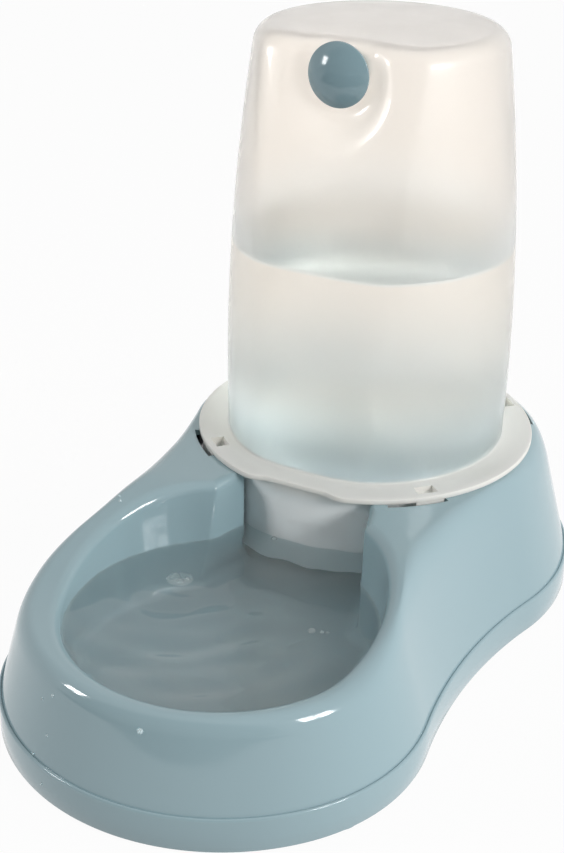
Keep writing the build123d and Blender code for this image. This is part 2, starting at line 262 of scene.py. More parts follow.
def cut(piece, cutter):
    """Cuts one piece by another, and removes the cutter."""
    modifier = piece.modifiers.new("cut", "BOOLEAN")
    modifier.operation = "DIFFERENCE"
    modifier.solver = "MANIFOLD"
    modifier.object = cutter
    graph = bpy.context.evaluated_depsgraph_get()
    mesh = bpy.data.meshes.new_from_object(piece.evaluated_get(graph))
    piece.modifiers.clear()
    piece.data = mesh
    finish_mesh(mesh, SHARP_ANGLE)
    bpy.data.objects.remove(cutter)


def lathe(shape, profile, centre, axis="Z", count=64):
    """Adds a closed turned body: a profile of radius and height, round an axis through a centre."""
    rings = []
    for radius, height in profile:
        points = []
        for i in range(count):
            angle = 2 * pi * i / count
            across = (radius * cos(angle), radius * sin(angle))
            if axis == "Z":
                local = Vector((across[0], across[1], height))
            else:
                local = Vector((across[0], -height, across[1]))
            points.append(Vector(centre) + local)
        rings.append(shape.ring(points))
    shape.bridge_all(rings)
    return rings


def smooth_step(x, first, last):
    """0 up to a first value and 1 from a last one, with a smooth rise between them."""
    t = min(max((x - first) / (last - first), 0.0), 1.0)
    return t * t * (3 - 2 * t)


def soft_min(a, b, width):
    """The smaller of two lengths, with a round blend of a width where they are alike."""
    mix = max(width - abs(a - b), 0.0) / width
    return min(a, b) - mix * mix * width / 4


def soft_rise(t, width):
    """Zero below nought and t above it, with a round blend."""
    if t <= -width:
        return 0
    return t if t >= width else (t + width) ** 2 / (4 * width)


def between(count):
    """Shares that part a stretch into a count of equal steps, without its ends."""
    return [k / count for k in range(1, count)]


def quarter_turn(steps):
    """Angles from 0 to a right angle, ends included."""
    return [pi / 2 * k / steps for k in range(steps + 1)]


def heights(first, last, step):
    """Heights from a first to a last one in about equal steps, without the last one."""
    count = max(1, round(abs(last - first) / step))
    return [first + (last - first) * k / count for k in range(count)]


# Outline of the base

def polar(centre, radius, angle):
    """Point at a radius from a centre."""
    return centre + Vector((cos(angle), sin(angle))) * radius


class Arc:
    """Arc of the outline: bulge 1 where it is convex and -1 where it draws in."""

    def __init__(self, centre, radius, first, last, bulge=1):
        self.centre = Vector(centre)
        self.radius = radius
        self.first = first
        self.last = last
        self.bulge = bulge
        self.length = abs(last - first) * radius

    def at(self, fraction, inset):
        angle = self.first + (self.last - self.first) * fraction
        return polar(self.centre, self.radius - inset * self.bulge, angle)


def heading(start, end):
    """Angle from +X of the way from one point to another."""
    return atan2(end[1] - start[1], end[0] - start[0])


def outline_arcs():
    """Arcs of the outline's right half, from the nose to the tail, that meet tangentially."""
    corner_offset = FRONT_LOBE_R - FRONT_CORNER_R
    spare = FRONT_LOBE_DEPTH - FRONT_CORNER_R
    nose_offset = (corner_offset ** 2 - spare ** 2) / (2 * spare)
    nose = (0, FRONT_LOBE_Y + nose_offset)
    corner = (corner_offset, FRONT_LOBE_Y)
    front = (0, FRONT_LOBE_Y)
    rear = (0, REAR_LOBE_Y)
    to_front = FRONT_LOBE_R + WAIST_R
    to_rear = REAR_LOBE_R + WAIST_R
    span = REAR_LOBE_Y - FRONT_LOBE_Y
    along = (to_front ** 2 - to_rear ** 2 + span ** 2) / (2 * span)
    waist = (sqrt(to_front ** 2 - along ** 2), FRONT_LOBE_Y + along)
    return [
        Arc(nose, FRONT_LOBE_DEPTH + nose_offset, -pi / 2, heading(nose, corner)),
        Arc(corner, FRONT_CORNER_R, heading(nose, corner), 0),
        Arc(front, FRONT_LOBE_R, 0, heading(front, waist)),
        Arc(waist, WAIST_R, heading(waist, front) + 2 * pi, heading(waist, rear), -1),
        Arc(rear, REAR_LOBE_R, heading(rear, waist), 0),
        Arc(rear, REAR_LOBE_R, 0, pi / 2),
    ]


ARCS = outline_arcs()
SIDE_AT = ARCS[0].length + ARCS[1].length
WAIST_AT = SIDE_AT + ARCS[2].length
REAR_AT = WAIST_AT + ARCS[3].length + ARCS[4].length
TAIL_AT = REAR_AT + ARCS[5].length


def outline_point(distance, inset):
    """Point of the right half at a distance along the outline, drawn in by an inset."""
    for arc in ARCS:
        if distance <= arc.length or arc is ARCS[-1]:
            return arc.at(min(distance / arc.length, 1), inset)
        distance -= arc.length


def top_line(y):
    """Height of the base's top surface, which climbs from the front rim to the seat."""
    end_y = RAMP_START_Y + (SEAT_Z - FRONT_RIM_Z) / RAMP_SLOPE
    climbed = soft_rise(y - RAMP_START_Y, RAMP_BLEND) - soft_rise(y - end_y, RAMP_BLEND)
    return FRONT_RIM_Z + RAMP_SLOPE * climbed


# Outline of the bowl, the channel and the well

def beside_line(side, centre, circle_r, reach, rear):
    """Where a line at a reach outside the channel's wall crosses a circle, in front or at the rear."""
    norm = hypot(1, CHANNEL_SLANT)
    away = Vector((1, CHANNEL_SLANT)) / norm
    along = Vector((-CHANNEL_SLANT, 1)) / norm
    wide = CHANNEL_WIDE + side * CHANNEL_SHIFT
    start = Vector((wide, CHANNEL_FRONT_Y)) + away * reach - Vector(centre)
    half = start.dot(along)
    root = sqrt(half ** 2 - start.length_squared + circle_r ** 2)
    return Vector(centre) + start + along * (-half + (root if rear else -root))


def turn(centre, radius, first, last, fraction):
    """Point on the short arc between two headings."""
    swing = (last - first + pi) % (2 * pi) - pi
    return polar(centre, radius, first + swing * fraction)


def cavity_point(side, kind, fraction, z, grow):
    """Point of the cavity's wall at a height, moved out into the wall by an amount.

    It is worked out for the right side, 1, or for the left one, -1, as if mirrored to the right.
    """
    bowl = Vector((side * BOWL_SHIFT, FRONT_LOBE_Y))
    well = Vector((0, TANK_Y))
    bowl_r = BOWL_RIM_R + (z - FRONT_RIM_Z) * BOWL_SLANT + grow
    well_r = WELL_R + grow
    least_r = 0.3
    corner_r = max(CORNER_R - grow, least_r)
    edge_r = max(WELL_EDGE_R - grow, least_r)
    corner = beside_line(side, bowl, bowl_r + corner_r, grow + corner_r, True)
    edge = beside_line(side, well, well_r + edge_r, grow + edge_r, False)
    inward = atan2(-CHANNEL_SLANT, -1)
    if kind == "bowl_front":
        return turn(bowl, bowl_r, -pi / 2, 0, fraction)
    if kind == "bowl_back":
        return turn(bowl, bowl_r, 0, heading(bowl, corner), fraction)
    if kind == "corner":
        return turn(corner, corner_r, heading(corner, bowl), inward, fraction)
    if kind == "channel":
        return polar(corner, corner_r, inward).lerp(polar(edge, edge_r, inward), fraction)
    if kind == "edge":
        return turn(edge, edge_r, inward, heading(edge, well), fraction)
    if kind == "well_front":
        return turn(well, well_r, heading(well, edge), 0, fraction)
    return turn(well, well_r, 0, pi / 2, fraction)


# Stretches of the cavity's wall, each with its number of columns and where it ends along the outline
STRETCHES = (
    ("bowl_front", 44, SIDE_AT),
    ("bowl_back", 22, SIDE_AT + 50),
    ("corner", 5, SIDE_AT + 54),
    ("channel", 16, SIDE_AT + 82),
    ("edge", 4, SIDE_AT + 85),
    ("well_front", 30, REAR_AT),
    ("well_back", 46, TAIL_AT),
)

# Shoulder between the base's wall and its top, along the outline: how far it reaches down the wall and
# in over the top
SHOULDER_STOPS = (
    (0, 7.0, 4.8),
    (SIDE_AT, 8.5, 6.0),
    (SIDE_AT + 35, 12.0, 7.5),
    (SIDE_AT + 50, 13.0, 8.5),
    (SIDE_AT + 80, 12.0, 7.0),
    (SIDE_AT + 103, 11.0, 6.0),
    (REAR_AT, 14.0, 6.6),
    (TAIL_AT, 14.0, 7.0),
)

# Skirt's section, upwards: how far in from the outline and how far up from its lower edge
SKIRT_SECTION = (
    (0.8, 0),
    (0.25, 0.25),
    (0, 0.8),
    (0, 7),
    (0, SKIRT_HEIGHT - 1.2),
    (0.12, SKIRT_HEIGHT - 0.5),
    (0.45, SKIRT_HEIGHT - 0.1),
    (0.9, SKIRT_HEIGHT),
)


def wall_inset(z):
    """How far in from the outline the sloping wall is at a height above the skirt."""
    return SKIRT_STEP + (z - SKIRT_TOP_Z) * WALL_SLANT


def shoulder_reach(distance):
    """How far the shoulder reaches down the wall and in over the top, at a distance along the outline."""
    for first, second in zip(SHOULDER_STOPS, SHOULDER_STOPS[1:]):
        if distance <= second[0] + 1e-6:
            t = smooth_step(distance, first[0], second[0])
            return first[1] + (second[1] - first[1]) * t, first[2] + (second[2] - first[2]) * t
    return SHOULDER_STOPS[-1][1:]


class Column:
    """One section through a side of the base, from the outline in to the cavity."""

    def __init__(self, side, kind, fraction, distance):
        self.side = side
        self.kind = kind
        self.fraction = fraction
        self.distance = distance
        self.edge_r = self.rim_edge()
        self.corner_inset = self.wall_meets_top()

    def rim_edge(self):
        """Rounding of the cavity's upper edge, which tightens towards the well."""
        if self.kind in ("bowl_front", "bowl_back", "corner"):
            return RIM_EDGE_R
        if self.kind == "channel":
            share = smooth_step(self.fraction, 0.55, 1)
            return RIM_EDGE_R + (WELL_EDGE_R - RIM_EDGE_R) * share
        return WELL_EDGE_R

    def outer(self, inset, z):
        point = outline_point(self.distance, inset)
        return Vector((self.side * point.x, point.y, z))

    def inner(self, grow, z):
        point = cavity_point(self.side, self.kind, self.fraction, z, grow)
        return Vector((self.side * point.x, point.y, z))

    def rim(self, grow, drop):
        """Point by the cavity's upper edge, a drop below the top surface there."""
        z = FRONT_RIM_Z
        for _ in range(3):
            point = self.inner(grow, z)
            z = top_line(point.y) - drop
        return self.inner(grow, z)

    def wall_meets_top(self):
        """Inset at which the sloping wall would meet the top surface if the edge were sharp."""
        inset = SKIRT_STEP
        for _ in range(8):
            inset = wall_inset(top_line(outline_point(self.distance, inset).y))
        return inset

    def shoulder(self, depth, steps):
        """Points over the shoulder, at a depth under the outer surface."""
        down, over = shoulder_reach(self.distance)
        corner = self.outer(self.corner_inset, 0)
        corner.z = top_line(corner.y)
        rim = self.rim(self.edge_r, 0)
        longest = 0.94
        end = corner.lerp(rim, min(over / (rim - corner).length, longest))
        end.z = top_line(end.y)
        drop = down / hypot(1, WALL_SLANT)
        start = self.outer(self.corner_inset - drop * WALL_SLANT, corner.z - drop)
        inward = Vector((end.x - corner.x, end.y - corner.y, 0)).normalized()
        points = []
        for k in range(steps + 1):
            t = k / steps
            point = start * (1 - t) ** 2 + corner * (2 * t * (1 - t)) + end * t ** 2
            along = (corner - start) * (1 - t) + (end - corner) * t
            run = along.dot(inward)
            under = (inward * along.z - Vector((0, 0, run))) / hypot(run, along.z)
            points.append(point + under * depth)
        return points

    def outside(self):
        """Points from the skirt's lower edge, over the wall, the shoulder and the rim, to the floor."""
        points = [self.outer(inset, FOOT_PROUD + up) for inset, up in SKIRT_SECTION]
        points.append(self.outer(SKIRT_STEP, SKIRT_TOP_Z - GROOVE_DEPTH))
        shoulder = self.shoulder(0, 18)
        for share in between(13):
            z = SKIRT_TOP_Z + (shoulder[0].z - SKIRT_TOP_Z) * share
            points.append(self.outer(wall_inset(z), z))
        points += shoulder
        rim = self.rim(self.edge_r, 0)
        for share in between(6):
            there = shoulder[-1].lerp(rim, share)
            there.z = top_line(there.y)
            points.append(there)
        for angle in quarter_turn(8):
            grow = self.edge_r * (1 - sin(angle))
            points.append(self.rim(grow, self.edge_r * (1 - cos(angle))))
        top = points[-1].z
        bottom = BOWL_FLOOR_Z + FLOOR_EDGE_R
        for share in between(8):
            points.append(self.inner(0, top + (bottom - top) * share))
        for angle in quarter_turn(6):
            z = BOWL_FLOOR_Z + FLOOR_EDGE_R * (1 - sin(angle))
            points.append(self.inner(-FLOOR_EDGE_R * (1 - cos(angle)), z))
        return points

    def inside(self):
        """Points of the hollow side, from the skirt's lower edge to the underside of the floor."""
        edge = 0.5
        step_z = SKIRT_TOP_Z - BASE_WALL
        step = self.outer(SKIRT_STEP + BASE_WALL, step_z)
        points = [
            self.outer(BASE_WALL - edge, FOOT_PROUD),
            self.outer(BASE_WALL, FOOT_PROUD + edge),
            self.outer(BASE_WALL, step_z),
            step,
        ]
        shoulder = self.shoulder(BASE_WALL, 10)
        points += [step.lerp(shoulder[0], share) for share in between(5)]
        points += shoulder
        rim = self.rim(BASE_WALL, BASE_WALL)
        points += [shoulder[-1].lerp(rim, 0.5), rim]
        low = BOWL_FLOOR_Z - BASE_WALL
        for share in between(4) + [1]:
            points.append(self.inner(BASE_WALL, rim.z + (low - rim.z) * share))
        return points


def base_columns():
    """Sections all the way round: the right side from the nose to the tail, then the left side back."""
    sides = []
    for side in (1, -1):
        columns = []
        start = 0
        for kind, count, end in STRETCHES:
            for i in range(count):
                fraction = i / count
                columns.append(Column(side, kind, fraction, start + (end - start) * fraction))
            start = end
        columns.append(Column(side, "well_back", 1, TAIL_AT))
        sides.append(columns)
    return sides[0] + sides[1][-2:0:-1]


def build_base():
    """The base: a hollow shell with the bowl, the channel and the well in one opening."""
    shape = Shape()
    columns = base_columns()
    outer_rings = shape.skin([column.outside() for column in columns])
    inner_rings = shape.skin([column.inside() for column in columns])
    shape.bridge(outer_rings[0], inner_rings[0])
    shape.patch(outer_rings[-1], 20)
    shape.patch(inner_rings[-1], 8)
    piece = make_piece("base_moulding", shape)
    cut(piece, slot_cutter())
    add_foot_bosses(piece)
    return piece


def slot_cutter():
    """Blocks that cut the seat's slots, each longer than its lug on one side."""
    shape = Shape()
    inner_r = WELL_R - 1.5
    low_z = SEAT_Z - LUG_DEPTH - SLOT_GAP
    high_z = SEAT_Z + 20
    corners = ((inner_r, low_z), (SLOT_R, low_z), (SLOT_R, high_z), (inner_r, high_z))
    for lug in LUG_ANGLES:
        first = lug - LUG_SPAN / 2 - SLOT_TURN
        last = lug + LUG_SPAN / 2 + SLOT_PLAY
        angles = np.radians(np.linspace(first, last, 17))
        rings = shape.skin([[around_tank(angle, radius, z) for angle in angles] for radius, z in corners])
        shape.cap(rings[0])
        shape.cap(reversed(rings[-1]))
    return make_piece("slot_cutter", shape)


def add_foot_bosses(piece):
    """Sleeves under the base that the feet push into, each with a recess for the foot and a stem hole."""
    shape = Shape()
    bottom = FOOT_PROUD + 0.05
    recess_top = bottom + 1
    hole_top = bottom + 5.2
    top = bottom + 9
    hole_r = 2.15
    for name in FOOT_NODES:
        low, high = box_mm(name)
        middle = (low + high) / 2
        recess_r = (high.x - low.x) / 2 + 0.15
        outer_r = recess_r + 1.4
        profile = [(outer_r, top), (outer_r, bottom), (recess_r, bottom), (recess_r, recess_top)]
        profile += [(hole_r, recess_top), (hole_r, hole_top)]
        rings = lathe(shape, profile, (middle.x, middle.y, 0), count=40)
        shape.close(rings, (middle.x, middle.y, top), (middle.x, middle.y, hole_top))
    bosses = make_piece("bosses", shape)
    joined = bmesh.new()
    joined.from_mesh(piece.data)
    joined.from_mesh(bosses.data)
    joined.to_mesh(piece.data)
    joined.free()
    finish_mesh(piece.data, SHARP_ANGLE)
    bpy.data.objects.remove(bosses)


# Tank

def tapered(z, foot, swell, taper):
    """How far a wall of the tank is from its axis at a height, from how far it is at its foot."""
    t = (z - FLANGE_TOP_Z) / (TANK_TOP_Z - FLANGE_TOP_Z)
    return foot + swell * t - taper * t * t


def front_distance(x, z):
    """The front panel with the dish for the plug sunk into it, as a distance from the axis."""
    panel = tapered(z, TANK_FOOT_R - PANEL_INSET, PANEL_SWELL, PANEL_TAPER)
    away = hypot(x, z - PLUG_Z)
    dish = DISH_FLOOR + soft_rise(away - DISH_FLOOR_R, DISH_FLOOR_BLEND) / DISH_SLOPE
    return soft_min(panel, dish, DISH_EDGE_BLEND)


def wall_radius(angle, z):
    """The tank's outer wall at an angle from the front: its round wall cut by the front panel."""
    round_r = tapered(z, TANK_FOOT_R, WALL_SWELL, WALL_TAPER)
    beyond_panel = cos(angle) < 0.2
    if beyond_panel:
        return round_r
    r = round_r
    for _ in range(12):
        r = (r + front_distance(r * sin(angle), z) / cos(angle)) / 2
    return soft_min(round_r, r, PANEL_EDGE_BLEND)


def flange_radius(angle):
    """The flange's rim, drawn in to a straight stretch in front."""
    x = abs(FLANGE_R * sin(angle))
    if cos(angle) < 0 or x > STRAIGHT_END:
        return FLANGE_R
    straight = (DRUM_R + STRAIGHT_PROUD) / cos(angle)
    return straight + (FLANGE_R - straight) * smooth_step(x, STRAIGHT_HALF, STRAIGHT_END)


def tank_angles():
    """Angles of the tank's columns in degrees, closer in front and at the ends of lugs and pockets."""
    angles = set(np.arange(-180.0, 180.0, 1.5).round(3))
    angles |= set(np.arange(-42.0, 42.1, 0.75).round(3))
    beside = 0.1
    kept_clear = 0.3
    for lug in LUG_ANGLES:
        for margin in (0, POCKET_MARGIN):
            for end in (lug - LUG_SPAN / 2 + margin, lug + LUG_SPAN / 2 - margin):
                angles = {a for a in angles if abs(a - end) > kept_clear}
                angles |= {end - beside, end + beside}
    return sorted(angles)


def is_within_lug(turned, margin):
    """True where an angle in degrees is at least a margin inside the ends of a lug."""
    return any(abs(turned - lug) < LUG_SPAN / 2 - margin for lug in LUG_ANGLES)


def around_tank(angle, radius, z):
    return Vector((radius * sin(angle), TANK_Y - radius * cos(angle), z))


def outer_wall(angle):
    """Radius and height of the outer wall from the middle of the top to the flange."""
    rim_r = wall_radius(angle, TANK_TOP_Z) - TANK_EDGE_R
    points = [(rim_r * share, crowned(TANK_TOP_Z, share)) for share in (0.15, 0.35, 0.55, 0.75, 0.9)]
    edge_z = TANK_TOP_Z - TANK_EDGE_R
    foot_z = FLANGE_TOP_Z + TANK_FOOT_EDGE
    points += round_edge(angle, edge_z, TANK_EDGE_R, quarter_turn(9)[:0:-1])
    for z in heights(edge_z, DISH_LOW_Z, 1.7) + heights(DISH_LOW_Z, foot_z, 4.5):
        points.append((wall_radius(angle, z), z))
    return points + round_edge(angle, foot_z, -TANK_FOOT_EDGE, quarter_turn(3))


def crowned(z, share):
    """Height of the tank's top at a share of the way out from its middle."""
    return z + TANK_CROWN * (1 - share ** 2)


def round_edge(angle, start_z, reach, turns, depth=0):
    """Radius and height where the wall rounds in to the top above it, or out to a flange below it."""
    points = []
    for turned in turns:
        z = start_z + reach * sin(turned)
        points.append((wall_radius(angle, z) - depth - reach * (1 - cos(turned)), z))
    return points


def flange_rim(rim_r, foot_r, has_pocket):
    """Radius and height over the flange's top, with the pocket above a lug, and round its rim."""
    pocket_z = FLANGE_TOP_Z - POCKET_DEPTH if has_pocket else FLANGE_TOP_Z
    top_r = rim_r - FLANGE_EDGE
    points = []
    for share, z in ((0.33, FLANGE_TOP_Z), (0.35, pocket_z), (0.8, pocket_z), (0.82, FLANGE_TOP_Z)):
        points.append((foot_r + (top_r - foot_r) * share, z))
    points += [(top_r, FLANGE_TOP_Z), (rim_r - 0.25, FLANGE_TOP_Z - 0.2)]
    return points + [(rim_r, FLANGE_TOP_Z - FLANGE_EDGE), (rim_r, SEAT_Z + 1.2)]


def flange_underside(rim_r, has_lug):
    """Radius and height from the flange's rim to the drum, over a lug or straight across."""
    if has_lug:
        low = SEAT_Z - LUG_DEPTH
        points = [(rim_r, SEAT_Z + 0.3), (rim_r - 0.3, SEAT_Z), (LUG_R, low + 0.4), (LUG_R - 0.4, low)]
        return points + [(DRUM_R + 0.5, low), (DRUM_R, low - 0.5)]
    points = [(rim_r, SEAT_Z + 1.1), (rim_r, SEAT_Z + 0.9), (rim_r, SEAT_Z + 0.4), (rim_r - 0.3, SEAT_Z)]
    return points + [(DRUM_R + 0.3, SEAT_Z), (DRUM_R, SEAT_Z - 0.4)]


def drum():
    """Radius and height down the drum's outside, round its edge and up its inside to the tank's wall."""
    inner_r = DRUM_R - TANK_WALL
    ledge_r = inner_r - LEDGE_WIDTH
    ledge_top = PLATE_TOP_Z + LEDGE_HEIGHT
    bottom = DRUM_BOTTOM_Z
    edge_z = bottom + DRUM_EDGE
    points = [(DRUM_R, z) for z in heights(SEAT_Z - 8, edge_z, 4.0)]
    points += [(DRUM_R, edge_z), (DRUM_R - DRUM_EDGE, bottom)]
    points += [(inner_r + DRUM_EDGE, bottom), (inner_r, edge_z)]
    points += [(inner_r, z) for z in heights(bottom + 5, PLATE_TOP_Z, 6.0)]
    points += [(inner_r, PLATE_TOP_Z), (ledge_r, PLATE_TOP_Z), (ledge_r, ledge_top), (inner_r, ledge_top)]
    return points + [(inner_r, SEAT_Z - 0.6), (inner_r - 0.6, SEAT_Z)]


def inner_wall(angle):
    """Radius and height of the tank's inner wall, from the flange to the middle of the top."""
    points = []
    edge_z = TANK_TOP_Z - TANK_EDGE_R
    top_z = TANK_TOP_Z - TANK_WALL
    for z in heights(SEAT_Z, DISH_LOW_Z, 6.0) + heights(DISH_LOW_Z, edge_z, 3.0):
        points.append((wall_radius(angle, max(z, FLANGE_TOP_Z)) - TANK_WALL, z))
    points += round_edge(angle, edge_z, TANK_EDGE_R - TANK_WALL, quarter_turn(5), TANK_WALL)
    rim_r = points[-1][0]
    return points + [(rim_r * share, crowned(top_z, share)) for share in (0.7, 0.35)]


def build_tank():
    """The tank: a hollow shell, open below, with its flange, lugs and drum."""
    shape = Shape()
    columns = []
    for turned in tank_angles():
        angle = radians(turned)
        rim_r = flange_radius(angle)
        wall = outer_wall(angle)
        foot_r = wall[-1][0]
        profile = wall + flange_rim(rim_r, foot_r, is_within_lug(turned, POCKET_MARGIN))
        profile += flange_underside(rim_r, is_within_lug(turned, 0)) + drum() + inner_wall(angle)
        columns.append([around_tank(angle, radius, z) for radius, z in profile])
    rings = shape.skin(columns)
    top_z = crowned(TANK_TOP_Z, 0)
    shape.close(rings, (0, TANK_Y, top_z), (0, TANK_Y, top_z - TANK_WALL))
    piece = make_piece("tank_moulding", shape)
    cut(piece, bore_cutter())
    return piece


def bore_cutter():
    """Cylinders that cut the plug's bore in front and the two vents at the back of the drum."""
    shape = Shape()
    holes = [
        (0, PLUG_Z, BORE_R, 20, 60, 48),
        (-VENT_X, VENT_Z, VENT_R, -60, -72, 24),
        (VENT_X, VENT_Z, VENT_R, -60, -72, 24),
    ]
    for x, z, radius, first, last, count in holes:
        profile = [(radius, first), (radius, last)]
        for end in lathe(shape, profile, (x, TANK_Y, z), axis="Y", count=count):
            shape.cap(end)
    return make_piece("bore_cutter", shape)


# Water

# Ripples on the bowl's water: where they spread from, their length and their height
RIPPLES = (
    (-27.2, -55.9, 13.0, 0.2),
    (-9.0, -9.6, 19.0, 0.2),
    (70.0, -160.0, 26.0, 0.3),
)

# Calm strip across the bowl, where the water mirrors the right window onto the bowl's left wall
CALM_Y = -47.0
CALM_HALF = 7.0
CALM_FADE = 15.0


def ripple(x, y):
    """How far the bowl's water stands above its level at a place."""
    up = 0
    for middle_x, middle_y, length, height in RIPPLES:
        up += height * sin(2 * pi * hypot(x - middle_x, y - middle_y) / length)
    return up * smooth_step(abs(y - CALM_Y), CALM_HALF, CALM_HALF + CALM_FADE)


def build_bowl_water():
    """Surface of the water in the bowl, the channel and the well, turned up a little at the wall."""
    shape = Shape()
    edge = ((0.05, 0.7), (-0.35, 0.3), (-0.9, 0.1), (-1.8, 0))
    columns = [[column.inner(grow, WATER_Z + up) for grow, up in edge] for column in base_columns()]
    rings = shape.skin(columns)
    shape.patch(rings[-1], 64)
    shape.points = [point + Vector((0, 0, ripple(point.x, point.y))) for point in shape.points]
    piece = make_piece("bowl_water", shape)
    if piece.data.polygons[0].normal.z < 0:
        piece.data.flip_normals()
    return piece


def build_tank_water():
    """The water stored in the tank, as one body that meets the tank's inner wall."""
    shape = Shape()
    edge = ((0, 0.6), (0.6, 0.25), (1.4, 0.05), (2.6, 0))
    overlap = 0.15
    wall = TANK_WALL - overlap
    drum_r = DRUM_R - wall
    low_z = PLATE_TOP_Z + LEDGE_HEIGHT - overlap
    shelf_z = SEAT_Z + overlap
    columns = []
    for turned in np.arange(-180.0, 180.0, 2.0):
        angle = radians(turned)
        profile = [(drum_r / 2, low_z), (drum_r, low_z), (drum_r, shelf_z)]
        for z in heights(shelf_z, TANK_WATER_Z + edge[0][1], 6.0):
            profile.append((wall_radius(angle, max(z, FLANGE_TOP_Z)) - wall, z))
        top_r = wall_radius(angle, TANK_WATER_Z) - wall
        profile += [(top_r - inset, TANK_WATER_Z + up) for inset, up in edge]
        profile.append((top_r / 2, TANK_WATER_Z))
        columns.append([around_tank(angle, radius, z) for radius, z in profile])
    rings = shape.skin(columns)
    shape.close(rings, (0, TANK_Y, low_z), (0, TANK_Y, TANK_WATER_Z))
    return make_piece("tank_water", shape)


# Bubbles on the bowl's water: place, radius and height
BUBBLES = (
    (-27.2, -55.9, 5.4, 1.1),
    (-29.6, -55.2, 2.0, 1.9),
    (-26.0, -57.4, 1.5, 1.4),
    (-24.4, -54.6, 1.2, 1.2),
    (-31.6, -57.6, 0.9, 0.9),
    (-9.0, -9.6, 1.3, 1.2),
    (35.2, -62.8, 1.6, 0.7),
    (39.1, -62.1, 0.8, 0.8),
    (41.2, -61.5, 0.6, 0.6),
)

# Splashed drops on the base's sides: the side, the distance along the outline, the height and the radius
SIDE_DROPS = (
    (1, 12.0, 43.6, 1.15),
    (-1, 32.0, 42.0, 0.7),
    (-1, 38.0, 38.0, 0.55),
    (-1, 31.0, 27.0, 0.5),
    (-1, 37.0, 16.6, 0.6),
    (-1, 30.0, 8.0, 0.6),
)

# Splashed drops on the base's top: place and radius
TOP_DROPS = (
    (-60.8, -46.5, 0.75),
    (-62.6, -44.2, 0.5),
)


def add_bubble(shape, foot, radius, height):
    """Thin film of water in a dome, from its foot on the surface."""
    film = 0.12
    angles = quarter_turn(8)[:-1]
    domes = []
    for inset in (0, film):
        profile = [((radius - inset) * cos(angle), (height - inset) * sin(angle)) for angle in angles]
        domes.append(lathe(shape, profile, foot, count=32))
        shape.pole(domes[-1][-1], Vector(foot) + Vector((0, 0, height - inset)))
    shape.bridge(domes[0][0], domes[1][0])


def build_bubbles():
    """Bubbles on the bowl's water, each with its foot a little below the surface."""
    shape = Shape()
    sunk = 0.1
    for x, y, radius, height in BUBBLES:
        add_bubble(shape, (x, y, WATER_Z + ripple(x, y) - sunk), radius, height)
    return make_piece("bubbles", shape)


def add_drop(shape, centre, radius):
    """Ball of water about a centre."""
    profile = [(radius * sin(pi * share), -radius * cos(pi * share)) for share in between(8)]
    rings = lathe(shape, profile, centre, count=16)
    up = Vector((0, 0, radius))
    shape.close(rings, Vector(centre) - up, Vector(centre) + up)


def build_splashes():
    """Drops on the base, each half sunk in the surface under it."""
    shape = Shape()
    for side, distance, z, radius in SIDE_DROPS:
        inset = wall_inset(z) if z > SKIRT_TOP_Z else 0
        point = outline_point(distance, inset)
        add_drop(shape, (side * point.x, point.y, z), radius)
    for x, y, radius in TOP_DROPS:
        add_drop(shape, (x, y, top_line(y)), radius)
    return make_piece("splashes", shape)


# Plug

def build_plug():
    """Stopper with a shallow domed head, a rounded edge and a hollow stem, facing the front."""
    shape = Shape()
    head_r = (plug_high.x - plug_low.x) / 2
    stem_end_y = plug_high.y
    front = stem_end_y - plug_low.y
    head_back = front - 6.0
    head_edge = head_back + 1.0
    dome_height = 4.6
    dome_r = (head_r ** 2 + dome_height ** 2) / (2 * dome_height)
    stem_r = 7.0
    hole_r = 5.2
    hole_end = head_back + 0.2
    profile = [(hole_r, hole_end), (hole_r, 0.5), (hole_r + 0.4, 0), (stem_r - 1, 0), (stem_r, 1)]
    profile += [(stem_r, head_back - 0.4), (stem_r + 0.4, head_back)]
    profile += [(head_r - 0.5, head_back), (head_r, head_back + 0.5), (head_r, head_edge)]
    rows = 16
    for k in range(1, rows):
        radius = head_r * sqrt(1 - (k / rows) ** 2.2)
        dome = front - dome_r + sqrt(dome_r ** 2 - radius ** 2)
        profile.append((radius, max(dome, head_edge + 0.02 * k)))
    rings = lathe(shape, profile, (0, stem_end_y, PLUG_Z), axis="Y", count=96)
    shape.close(rings, (0, stem_end_y - hole_end, PLUG_Z), (0, stem_end_y - front, PLUG_Z))
    return make_piece("plug_moulding", shape, PLUG_SHARP_ANGLE)


# Materials

def new_material(name):
    material = bpy.data.materials.new(name)
    material.use_nodes = True
    material.node_tree.nodes.clear()
    return material, material.node_tree


def add_node(tree, kind, inputs=None, **settings):
    """Node with its inputs and settings. An input is a number, a colour or the output of another node."""
    node = tree.nodes.new(kind)
    for name, value in settings.items():
        setattr(node, name, value)
    for name, value in (inputs or {}).items():
        socket = node.inputs[name]
        if isinstance(value, bpy.types.NodeSocket):
            tree.links.new(value, socket)
        elif isinstance(value, tuple):
            socket.default_value = (*value, 1)
        else:
            socket.default_value = value
    return node


def noise(tree, scale, detail):
    """Noise that is fixed to the piece, with its scale in features per metre."""
    place = add_node(tree, "ShaderNodeTexCoord")
    inputs = {"Scale": scale, "Detail": detail, "Vector": place.outputs["Object"]}
    return add_node(tree, "ShaderNodeTexNoise", inputs).outputs["Fac"]


def ramp(tree, value, first, last, low=0, high=1, rise="SMOOTHSTEP"):
    """Maps a value from one range to another, and holds it beyond the ends."""
    inputs = {"Value": value, "From Min": first, "From Max": last, "To Min": low, "To Max": high}
    return add_node(tree, "ShaderNodeMapRange", inputs, interpolation_type=rise).outputs["Result"]


def spread(tree, value, low, high):
    """Maps the middle of a noise's range evenly to a range of values."""
    return ramp(tree, value, 0.3, 0.7, low, high, rise="LINEAR")


